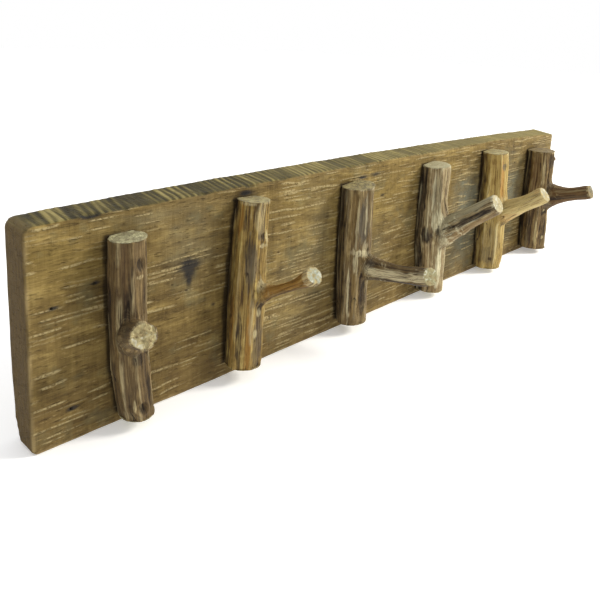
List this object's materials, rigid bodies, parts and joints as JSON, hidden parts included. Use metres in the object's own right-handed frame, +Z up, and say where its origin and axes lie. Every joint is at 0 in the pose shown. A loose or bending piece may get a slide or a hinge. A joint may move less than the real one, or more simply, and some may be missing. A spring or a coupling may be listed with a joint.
{
  "type": "wall hook rack",
  "caption": "Rustic wall hook rack: a thick weathered plank with a row of forked natural branch hooks and keyhole hangers let into the back.",
  "frame": {"origin": "centre of the plank's back, which lies on the wall", "axes": "+X along the plank to the viewer's right, +Y into the wall, so the hooks face -Y, +Z up"},
  "size_m": [1, 0.1598, 0.2184],
  "materials": {
    "plank": "weathered sawn softwood, waxed",
    "hook_1": "dry natural branch, partly barked, waxed",
    "hook_2": "dry natural branch, partly barked, waxed",
    "hook_3": "dry natural branch, partly barked, waxed",
    "hook_4": "dry natural branch, partly barked, waxed",
    "hook_5": "dry natural branch, partly barked, waxed",
    "hook_6": "dry natural branch, partly barked, waxed",
    "screw_zinc": "yellow zinc plated",
    "hanger_steel": "zinc plated sheet"
  },
  "bodies": {
    "root": {"board": "plank", "hook_1": "hook_1", "hook_2": "hook_2", "hook_3": "hook_3", "hook_4": "hook_4", "hook_5": "hook_5", "hook_6": "hook_6", "hook_screws": "screw_zinc", "hanger_screws": "screw_zinc", "hanger_left": "hanger_steel", "hanger_right": "hanger_steel"}
  },
  "joints": []
}
